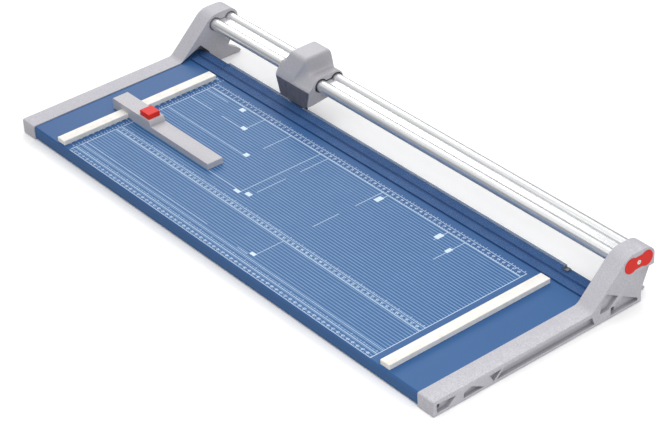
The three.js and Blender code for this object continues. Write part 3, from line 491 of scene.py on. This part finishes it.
SCREW_BORE = 2.2 * MM
rail_outlines = [
    lobed(LOBE_OFFSET, LOBE_RADIUS, WEB_HALF, groove=RAIL_GROOVE),
    *[circle((RAIL_Y + s * LOBE_OFFSET, RAIL_Z), LOBE_RADIUS - LOBE_WALL, 48) for s in (-1, 1)],
    circle((RAIL_Y, RAIL_Z), SCREW_BORE, 24),
]
settle(extruded("guide_rail_visual", rail_outlines, rail_low.x, rail_high.x), "guide_rail")
for side in ("left", "right"):
    refined(side + "_rail_plate", 0.7 * MM, 3)
    node = side + "_glide_bushing"
    low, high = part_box(node)
    bushing = extruded(node + "_visual", [
        lobed(LOBE_OFFSET, SLEEVE_RADIUS, SLEEVE_WEB_HALF),
        lobed(LOBE_OFFSET, LOBE_RADIUS, WEB_HALF, CLEAR),
    ], low.x, high.x)
    settle(bushing, node)

# ---------- cutting head ----------

HEAD_X = (head_low.x + head_high.x) / 2
HEAD_HALF = (head_high.x - head_low.x) / 2
GRIP_HALF = 18.5 * MM
COVE_END = 26.5 * MM
GRIP_SHARE = 0.3
NECK_SHARE = 0.72
STATIONS = 56  # along each half of the head
CORNER = 4 * MM  # rounding of the section's corners
CORNER_STEPS = 5
SOFT_SHARE = 0.05  # how far along the head its creases are eased
SOFT_STEPS = 7

# Matching section points, in millimetres from the front edge: a grip point is (y, z, lean to the
# left), a neck point is (y, z, drawn in from the end)
GRIP = [(319.5, 31, 0), (319.8, 62, 19), (321.5, 69.5, 16), (326.8, 84, 9), (333.2, 101.5, 1.5),
        (337.5, 105, 0), (379, 105, 0), (383, 101, 0), (385.4, 84, 0), (386, 64, 0), (383, 46, 0),
        (377, 41, 0), (352, 41, 0), (334, 31, 0)]
NECK = [(319.5, 33.5, 8), (319.8, 62, 2), (325, 67, 0), (330.3, 73.5, 0), (335.2, 78.3, 0),
        (342, 80.3, 0), (374, 80.3, 0), (381, 77.5, 0), (385.4, 69, 0), (386, 60, 0), (383, 46, 0),
        (377, 41, 0), (352, 41, 2), (334, 33.5, 8)]


def head_point(share, side, grip, neck):
    """Where one line of the head's surface is at a share of the way from its middle to one end."""
    lean, drawn_in = grip[2] * MM, neck[2] * MM
    grip_end = GRIP_HALF - side * lean
    cove_end = max(COVE_END, grip_end + MM)
    middle = -side * lean
    turn = min(max((share - GRIP_SHARE) / (NECK_SHARE - GRIP_SHARE), 0), 1) * math.pi / 2
    if share <= GRIP_SHARE:
        along = middle + share / GRIP_SHARE * (grip_end - middle)
    elif share >= NECK_SHARE:
        along = cove_end + (share - NECK_SHARE) / (1 - NECK_SHARE) * (HEAD_HALF - drawn_in - cove_end)
    else:
        along = grip_end + (1 - math.cos(turn)) * (cove_end - grip_end)
    blend = math.sin(turn)
    return Vector((HEAD_X + side * along,
                   FRONT + (grip[0] + (neck[0] - grip[0]) * blend) * MM,
                   (grip[1] + (neck[1] - grip[1]) * blend) * MM))


def eased_point(share, side, grip, neck):
    """head_point averaged over a short length, so that creases across the head are rounded."""
    reach = min(SOFT_SHARE, share, 1 - share)
    total = Vector((0, 0, 0))
    for k in range(SOFT_STEPS):
        total += head_point(share + reach * (2 * k / (SOFT_STEPS - 1) - 1), side, grip, neck)
    return total / SOFT_STEPS


def rounded_loop(points, radius, steps):
    """A closed line of points with each corner replaced by a short curve."""
    made = []
    for i, corner in enumerate(points):
        before, after = points[i - 1], points[(i + 1) % len(points)]
        start = corner + (before - corner).normalized() * min(radius, (before - corner).length * 0.45)
        end = corner + (after - corner).normalized() * min(radius, (after - corner).length * 0.45)
        for k in range(steps + 1):
            s = k / steps
            made.append(start * (1 - s) ** 2 + corner * 2 * s * (1 - s) + end * s ** 2)
    return made


def head_shell():
    bm = bmesh.new()
    rings = []
    spots = [(-1, 1 - i / STATIONS) for i in range(STATIONS)]
    spots += [(1, i / STATIONS) for i in range(STATIONS + 1)]
    for side, share in spots:
        loop = [eased_point(share, side, grip, neck) for grip, neck in zip(GRIP, NECK)]
        rings.append([bm.verts.new(p) for p in rounded_loop(loop, CORNER, CORNER_STEPS)])
    for ring, following in zip(rings, rings[1:]):
        for i in range(len(ring)):
            j = (i + 1) % len(ring)
            bm.faces.new((ring[i], ring[j], following[j], following[i]))
    for ring in (rings[0], rings[-1]):
        hub = bm.verts.new(sum((v.co for v in ring), Vector()) / len(ring))
        for i in range(len(ring)):
            bm.faces.new((ring[i], ring[(i + 1) % len(ring)], hub))
    bmesh.ops.recalc_face_normals(bm, faces=bm.faces)
    return mesh_from(bm, "carriage_housing_visual")


def block(x0, x1, y0, y1, z0, z1):
    """A plain cutter, in metres."""
    bm = bmesh.new()
    bmesh.ops.create_cube(bm, size=1)
    place = Matrix.Translation(((x0 + x1) / 2, (y0 + y1) / 2, (z0 + z1) / 2))
    bmesh.ops.transform(bm, verts=bm.verts, matrix=place @ Matrix.Diagonal((x1 - x0, y1 - y0, z1 - z0, 1)))
    return new_object("cutter", mesh_from(bm, "cutter"))


def drilled(radius, x, z, y0, y1, steps=64):
    """A round cutter along Y."""
    profile = [(0, 0), (radius, 0), (radius, y1 - y0), (0, y1 - y0)]
    return turned("cutter", profile, (x, y0, z), (0, 1, 0), steps)


def carve(made, cutters):
    """Cut the cutters out of a piece and throw them away."""
    for cutter in cutters:
        step = made.modifiers.new("cut", "BOOLEAN")
        step.operation = "DIFFERENCE"
        step.solver = "EXACT"
        step.object = cutter
    mesh = baked(made)
    made.modifiers.clear()
    made.data = mesh
    for cutter in cutters:
        bpy.data.objects.remove(cutter)


PAST = 2 * MM  # how far a cutter reaches past the face it opens
apron_low, apron_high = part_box("blade_cover")
shoe_low, shoe_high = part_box("presser_shoe")
axle_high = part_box("wheel_axle")[1]
bushing_low, bushing_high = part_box("left_glide_bushing")
bushing_length = bushing_high.x - bushing_low.x
sleeve = [lobed(LOBE_OFFSET, SLEEVE_RADIUS, SLEEVE_WEB_HALF, CLEAR)]
APRON_BACK = FRONT + 321 * MM
HEAD_BORE_CLEARANCE = 0.7 * MM
WHEEL_CLEARANCE = 1.2 * MM
CAVITY_FRONT, CAVITY_REAR = FRONT + 323.5 * MM, FRONT + 331.5 * MM
BACK_HOLES_START = CAVITY_REAR - MM  # of the holes in the rear wall of the wheel's cavity
SEAT_REACH = 10 * MM  # how far the cutters of the seat and the shoe's pocket start below them
SHOE_POCKET_TOP = 55 * MM
AXLE_BORE = 2.7 * MM
PEG_BORE, PEG_Z, PEG_OFFSET, PEG_END = 2.3 * MM, 57 * MM, 33 * MM, FRONT + 327.3 * MM
HOLDER_SCREW_Z, HOLDER_SCREW_X, HOLDER_SCREW_END = 50 * MM, 8.5 * MM, FRONT + 342.5 * MM
housing = new_object("carriage_housing_visual", head_shell())
carve(housing, [
    extruded("cutter", [lobed(LOBE_OFFSET, LOBE_RADIUS, WEB_HALF, HEAD_BORE_CLEARANCE)],
             head_low.x - PAST, head_high.x + PAST),
    extruded("cutter", sleeve, head_high.x - bushing_length - CLEAR, head_high.x + PAST),
    extruded("cutter", sleeve, head_low.x - PAST, head_low.x + bushing_length + CLEAR),
    drilled(wheel_high.x - WHEEL_X + WHEEL_CLEARANCE, WHEEL_X, WHEEL_Z, CAVITY_FRONT, CAVITY_REAR, 96),
    block(head_low.x - PAST, head_high.x + PAST, apron_low.y - PAST, APRON_BACK + CLEAR,
          apron_low.z - SEAT_REACH, apron_high.z + CLEAR),
    block(shoe_low.x - CLEAR, shoe_high.x + CLEAR, APRON_BACK, shoe_high.y + CLEAR,
          shoe_low.z - SEAT_REACH, SHOE_POCKET_TOP),
    drilled(AXLE_BORE, WHEEL_X, WHEEL_Z, BACK_HOLES_START, axle_high.y + CLEAR),
    *[drilled(PEG_BORE, x, PEG_Z, APRON_BACK, PEG_END, 24)
      for x in (HEAD_X - PEG_OFFSET, HEAD_X + PEG_OFFSET)],
    *[drilled(SCREW_BORE, x, HOLDER_SCREW_Z, BACK_HOLES_START, HOLDER_SCREW_END, 24)
      for x in (HEAD_X - HOLDER_SCREW_X, HEAD_X + HOLDER_SCREW_X)],
])
shade(housing.data, math.radians(40))
settle(housing, "carriage_housing")

BLADE_EDGE, BLADE_BEVEL = 0.15 * MM, 3 * MM  # thickness left at the rim, width of the ground ring
HUB_STEP, HUB_RISE = 0.5 * MM, 0.4 * MM
WASHER_BORE, WASHER_FLAT, WASHER_RIM = 2.8 * MM, 3.6 * MM, 0.8 * MM
AXLE_CHAMFER = 0.3 * MM


def wheel_profile(node, radius, depth):
    """The (radius, distance) loop of one of the round pieces on the wheel's axle."""
    if node == "cutting_wheel":
        return [(AXLE_BORE, 0), (radius, 0), (radius, BLADE_EDGE), (radius - BLADE_BEVEL, depth),
                (AXLE_BORE, depth)]
    if node == "wheel_hub":
        return [(AXLE_BORE, 0), (radius - HUB_STEP, 0), (radius, HUB_RISE), (radius, depth),
                (AXLE_BORE, depth)]
    if node == "wheel_spring_washer":
        return [(WASHER_BORE, 0), (WASHER_FLAT, 0), (radius, depth * 0.64), (radius, depth),
                (radius - WASHER_RIM, depth), (WASHER_BORE, depth * 0.36)]
    return [(0, 0), (radius - AXLE_CHAMFER, 0), (radius, AXLE_CHAMFER), (radius, depth - AXLE_CHAMFER),
            (radius - AXLE_CHAMFER, depth), (0, depth)]


for node in ("cutting_wheel", "wheel_hub", "wheel_spring_washer", "wheel_axle"):
    low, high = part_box(node)
    profile = wheel_profile(node, (high.x - low.x) / 2, high.y - low.y)
    settle(turned(node + "_visual", profile, (WHEEL_X, low.y, WHEEL_Z), (0, 1, 0), 96), node)

# ---------- screws and springs ----------

SHANK_RADIUS = 1.9 * MM
HEAD_HEIGHT = 1.6 * MM
SMALL_HEAD_HEIGHT = 1.2 * MM
SMALL_HEAD_RADIUS = 3.2 * MM  # a head narrower than this is a small one
SCREW_EASE = 0.35 * MM  # rounding of the head's rim and of the tip
SOCKET_RADIUS = 1.2 * MM
SOCKET_DEPTH = 2.4 * MM


def socket_screw(node, axis, outward, material=None):
    """A round-headed screw with a round socket, standing for a CAD screw."""
    low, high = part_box(node)
    size = high - low
    across = [i for i in range(3) if i != axis]
    head_radius = size[across[0]] / 2
    head_height = SMALL_HEAD_HEIGHT if head_radius < SMALL_HEAD_RADIUS else HEAD_HEIGHT
    length = size[axis]
    profile = [
        (0, -SOCKET_DEPTH), (SOCKET_RADIUS, -SOCKET_DEPTH), (SOCKET_RADIUS, 0),
        (head_radius - SCREW_EASE, 0), (head_radius, -SCREW_EASE), (head_radius, -head_height),
        (SHANK_RADIUS, -head_height), (SHANK_RADIUS, -length + SCREW_EASE),
        (SHANK_RADIUS - SCREW_EASE, -length), (0, -length),
    ]
    centre = (low + high) / 2
    centre[axis] = high[axis] if outward > 0 else low[axis]
    direction = [0, 0, 0]
    direction[axis] = outward
    return settle(turned(node + "_visual", profile, centre, direction, 36), node, material)


for side, sign in (("left", -1), ("right", 1)):
    socket_screw(side + "_rail_screw", 0, sign, pale_screw)
    for i in (1, 2, 3):
        socket_screw(f"{side}_bracket_screw_{i}", 2, -1)
    for end in ("front", "rear"):
        socket_screw(f"{side}_scale_screw_{end}", 2, -1)
for i in (1, 2, 3, 4):
    socket_screw(f"lower_blade_screw_{i}", 1, 1)
for i in (1, 2):
    socket_screw(f"blade_holder_screw_{i}", 1, -1)

for side in ("left", "right"):
    spring(side + "_clamp_spring", 0.45 * MM, 6)
shoe_spring = spring("shoe_spring", 0.25 * MM, 7)
button_spring = spring("button_spring", 0.5 * MM, 6)
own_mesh(button_spring)
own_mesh(shoe_spring)

# ---------- print on the table ----------

# Places on the table are in millimetres from the left and front edges of the trimmer
INK = 0.06 * MM  # thickness of a printed line
NUMERAL_WEIGHT = 0.025  # how far a digit's outline is pushed out, for a digit one unit high
NUMERAL_HEIGHT = 4.0
NUMERAL_PITCH = 0.62 * NUMERAL_HEIGHT
NUMERAL_FONT_SIZE = 1.4  # makes a digit about one unit high
TICK = 0.75


class Print:
    """Thin raised ink, gathered into one mesh."""

    def __init__(self, name, material, thickness):
        self.name = name
        self.material = material
        self.thickness = thickness
        self.bm = bmesh.new()

    def bar(self, x0, x1, y0, y1):
        corners = []
        for z in (TABLE_TOP, TABLE_TOP + self.thickness):
            for x, y in ((x0, y0), (x1, y0), (x1, y1), (x0, y1)):
                corners.append(self.bm.verts.new((LEFT + x * MM, FRONT + y * MM, z)))
        for face in ((3, 2, 1, 0), (4, 5, 6, 7), (0, 1, 5, 4),
                     (1, 2, 6, 5), (2, 3, 7, 6), (3, 0, 4, 7)):
            self.bm.faces.new([corners[i] for i in face])

    def across(self, y, x0, x1, width):
        self.bar(x0, x1, y - width / 2, y + width / 2)

    def along(self, x, y0, y1, width):
        self.bar(x - width / 2, x + width / 2, y0, y1)

    def digits(self, text, x, y):
        for k, character in enumerate(text):
            offset = Matrix.Translation(((k - len(text) / 2) * NUMERAL_PITCH, 0, 0))
            place = (Matrix.Translation((LEFT + x * MM, FRONT + y * MM, TABLE_TOP))
                     @ Matrix.Scale(MM, 4) @ offset @ Matrix.Scale(NUMERAL_HEIGHT, 4))
            start = len(self.bm.verts)
            self.bm.from_mesh(numerals[character])
            self.bm.verts.ensure_lookup_table()
            bmesh.ops.transform(self.bm, matrix=place, verts=self.bm.verts[start:])

    def done(self):
        mesh = mesh_from(self.bm, self.name)
        mesh.materials.append(self.material)
        made = new_object(self.name, mesh)
        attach(made, "frame")


def make_numerals():
    """The digits 0 to 9 as thin solids about one unit high."""
    made = {}
    for character in "0123456789":
        curve = bpy.data.curves.new("numeral", "FONT")
        curve.body = character
        curve.size = NUMERAL_FONT_SIZE
        curve.offset = NUMERAL_WEIGHT
        curve.extrude = INK / MM / 4
        curve.resolution_u = 1
        temporary = new_object("numeral", curve)
        made[character] = baked(temporary)
        bpy.data.objects.remove(temporary)
    return made


numerals = make_numerals()
FIELD_LEFT, FIELD_RIGHT = 121, 812
FIELD_FRONT, FIELD_REAR = 4, 276
INCH = 25.4
STRIPE_COUNT, STRIPE_PITCH, STRIPE_WIDTH = 52, 5, 1.5
FRONT_RULE_Y, FRONT_RULE_END, FRONT_RULE_WIDTH = 35, 420, 0.6
SIDE_RULE_WIDTH = 1.1
QUARTER_CENTIMETRE = 2.5
FINE_RULE = 0.8
FORMAT_RULE = 0.9

# Lines along the whole field: (y, width)
FIELD_RULES = ((265.5, 1.3), (87, 1.2), (16, 1.0), (276, 0.8), (97, 0.8), (26.5, 0.8), (4, 0.8))
# Centimetre scales, (y of the scale, y of its numbers), and the y of each inch scale
CENTIMETRE_SCALES = ((265.5, 270), (87, 90.5), (4, 7))
INCH_SCALES = (276, 97, 17)
# The scale up the left side
SIDE_SCALE_X, SIDE_NUMBERS_X = 118, 107
SIDE_TICKS, SIDE_PITCH, SIDE_START = 56, 5, 15

# Format lines, (x, from, to) up the table and (y, from, to) along it
FORMATS_UP = (
    (254, 222, 265), (317, 213, 265), (386.5, 118, 265), (404, 213, 265), (404, 135, 187),
    (527, 215, 265), (527, 138, 185), (527, 35, 87), (538.5, 245, 265), (666, 238, 265),
    (701, 207, 265), (104.5, 281, 289), (827, 279, 289),
)
FORMATS_ALONG = (
    (256, 121, 175), (225, 121, 176), (225, 200, 245), (182, 121, 310), (120, 310, 375),
    (31.5, 495, 518),
)
# Pale blocks beside format lines: (x0, x1, y0, y1)
FORMAT_BLOCKS = (
    (203, 213, 254, 262), (246, 257, 224, 231), (309, 318, 181, 189), (375, 387, 114, 120),
    (394, 405, 120, 127), (518, 528, 34, 40), (532, 541, 243, 256), (660, 669, 243, 256),
    (696, 703, 231, 242),
)

stripes = Print("table_print_stripes", print_soft, 0.7 * INK)
lines = Print("table_print_lines", print_bright, INK)
blocks = Print("table_print_blocks", print_block, 1.4 * INK)

for i in range(1, STRIPE_COUNT + 1):
    stripes.across(FIELD_FRONT + STRIPE_PITCH * i, FIELD_LEFT, FIELD_RIGHT, STRIPE_WIDTH)
for y, width in FIELD_RULES:
    lines.across(y, FIELD_LEFT, FIELD_RIGHT, width)
lines.across(FRONT_RULE_Y, FIELD_LEFT, FRONT_RULE_END, FRONT_RULE_WIDTH)
for x in (FIELD_LEFT, FIELD_RIGHT):
    lines.along(x, FIELD_FRONT, FIELD_REAR, SIDE_RULE_WIDTH)

for base, number_y in CENTIMETRE_SCALES:
    for i in range(int((FIELD_RIGHT - FIELD_LEFT) / QUARTER_CENTIMETRE) + 1):
        length = 3.2 if i % 4 == 0 else 2.2 if i % 2 == 0 else 1.3
        lines.along(FIELD_LEFT + QUARTER_CENTIMETRE * i, base, base + length, TICK)
    for centimetre in range(1, int((FIELD_RIGHT - FIELD_LEFT) / 10)):
        lines.digits(str(centimetre), FIELD_LEFT + 10 * centimetre, number_y)
for base in INCH_SCALES:
    for i in range(int((FIELD_RIGHT - FIELD_LEFT) / (INCH / 4)) + 1):
        lines.along(FIELD_LEFT + INCH / 4 * i, base + 1, base + (4 if i % 4 == 0 else 2.4), TICK)
for i in range(SIDE_TICKS):
    y = SIDE_START + SIDE_PITCH * i
    length = 5 if i % 2 == 0 else 3
    lines.bar(SIDE_SCALE_X - length, SIDE_SCALE_X, y - TICK / 2, y + TICK / 2)
    if i % 2 == 0:
        lines.digits(str(i // 2), SIDE_NUMBERS_X, y - 1.5)

for x, y0, y1 in FORMATS_UP:
    lines.along(x, y0, y1, FORMAT_RULE)
for y, x0, x1 in FORMATS_ALONG:
    lines.across(y, x0, x1, FINE_RULE)
for block_edges in FORMAT_BLOCKS:
    blocks.bar(*block_edges)
for printed in (stripes, lines, blocks):
    printed.done()

# ---------- stage, light and camera ----------

FLOOR_SIZE = 14
FLOOR_SEEN_LIGHT, FLOOR_SEEN_DARK = (1.11, 1.11, 1.11), (1.09, 1.09, 1.09)
FLOOR_BOUNCE_LIGHT, FLOOR_BOUNCE_DARK = (0.74, 0.74, 0.74), (0.72, 0.72, 0.72)
HORIZON_LIGHT = 0.12
ZENITH_LIGHT = 1.0
LIGHT_AIM = Vector((0, 0, 0.03))

# Soft round lights: direction from the aim, distance, diameter and power
LIGHTS = (
    ("key_softbox", (-0.74, 0.46, 0.55), 3.25, 1.7, 23),
    ("back_softbox", (0.15, 0.8, 1.0), 3.3, 1.5, 10),
    ("side_softbox", (0.9, -0.34, 0.56), 1.75, 0.8, 7),
    ("front_fill", (-0.25, -0.6, 0.8), 2.6, 1.2, 5.5),
)


def floor_paper():
    """White paper that the camera sees brightly lit, and that throws less light back at the object."""
    n = Nodes("studio_floor")
    seen = n.add("ShaderNodeBsdfDiffuse")
    n.link(n.mix(n.noise(2), FLOOR_SEEN_DARK, FLOOR_SEEN_LIGHT), seen.inputs["Color"])
    n.link(n.mix(n.noise(2), FLOOR_BOUNCE_DARK, FLOOR_BOUNCE_LIGHT), n.shader.inputs["Base Color"])
    n.shader.inputs["Roughness"].default_value = 0.8
    n.shader.inputs["Specular IOR Level"].default_value = 0.0
    mixer = n.add("ShaderNodeMixShader")
    n.link(n.add("ShaderNodeLightPath").outputs["Is Camera Ray"], mixer.inputs["Fac"])
    n.link(n.shader.outputs["BSDF"], mixer.inputs[1])
    n.link(seen.outputs["BSDF"], mixer.inputs[2])
    n.link(mixer.outputs["Shader"], n.output.inputs["Surface"])
    return n.material


def make_floor():
    bm = bmesh.new()
    bmesh.ops.create_grid(bm, x_segments=2, y_segments=2, size=FLOOR_SIZE)
    mesh = mesh_from(bm, "studio_floor")
    mesh.materials.append(floor_paper())
    new_object("studio_floor", mesh)


def area_light(name, direction, distance, size, power):
    data = bpy.data.lights.new(name, "AREA")
    data.shape = "DISK"
    data.size = size
    data.energy = power
    lamp = new_object(name, data)
    lamp.location = LIGHT_AIM + Vector(direction).normalized() * distance
    lamp.rotation_mode = "QUATERNION"
    lamp.rotation_quaternion = (-Vector(direction)).to_track_quat("-Z", "Y")


make_floor()
for light in LIGHTS:
    area_light(*light)

scene = bpy.context.scene
world = bpy.data.worlds.new("studio_world")
world.use_nodes = True
sky = world.node_tree.nodes
height = sky.new("ShaderNodeSeparateXYZ")
falloff = sky.new("ShaderNodeMapRange")
falloff.interpolation_type = "SMOOTHSTEP"
for name, value in (("From Min", 0.05), ("From Max", 0.95),
                    ("To Min", HORIZON_LIGHT), ("To Max", ZENITH_LIGHT)):
    falloff.inputs[name].default_value = value
world.node_tree.links.new(sky.new("ShaderNodeTexCoord").outputs["Generated"], height.inputs["Vector"])
world.node_tree.links.new(height.outputs["Z"], falloff.inputs["Value"])
world.node_tree.links.new(falloff.outputs["Result"], sky["Background"].inputs["Strength"])
sky["Background"].inputs["Color"].default_value = (1, 1, 1, 1)
scene.world = world
scene.view_settings.view_transform = "Standard"

TARGET = Vector((57.95, 11.07, 1)) * MM
DISTANCE = 3237.33 * MM
LENS, SENSOR = 125.40, 36
SHIFT_X, SHIFT_Y = -0.03005, -0.00087
AZIMUTH, ELEVATION, ROLL = (math.radians(a) for a in (52.303, 33.614, -3.142))
back = Vector((math.sin(AZIMUTH) * math.cos(ELEVATION), -math.cos(AZIMUTH) * math.cos(ELEVATION),
               math.sin(ELEVATION)))
level = Vector((math.cos(AZIMUTH), math.sin(AZIMUTH), 0))
upright = back.cross(level)
right = level * math.cos(ROLL) + upright * math.sin(ROLL)
up = upright * math.cos(ROLL) - level * math.sin(ROLL)
camera_data = bpy.data.cameras.new("camera")
camera_data.lens = LENS
camera_data.sensor_width = SENSOR
camera_data.shift_x = SHIFT_X
camera_data.shift_y = SHIFT_Y
camera = new_object("camera", camera_data)
camera.rotation_mode = "QUATERNION"
camera.location = TARGET + back * DISTANCE
camera.rotation_quaternion = Matrix((right, up, back)).transposed().to_quaternion()
scene.camera = camera
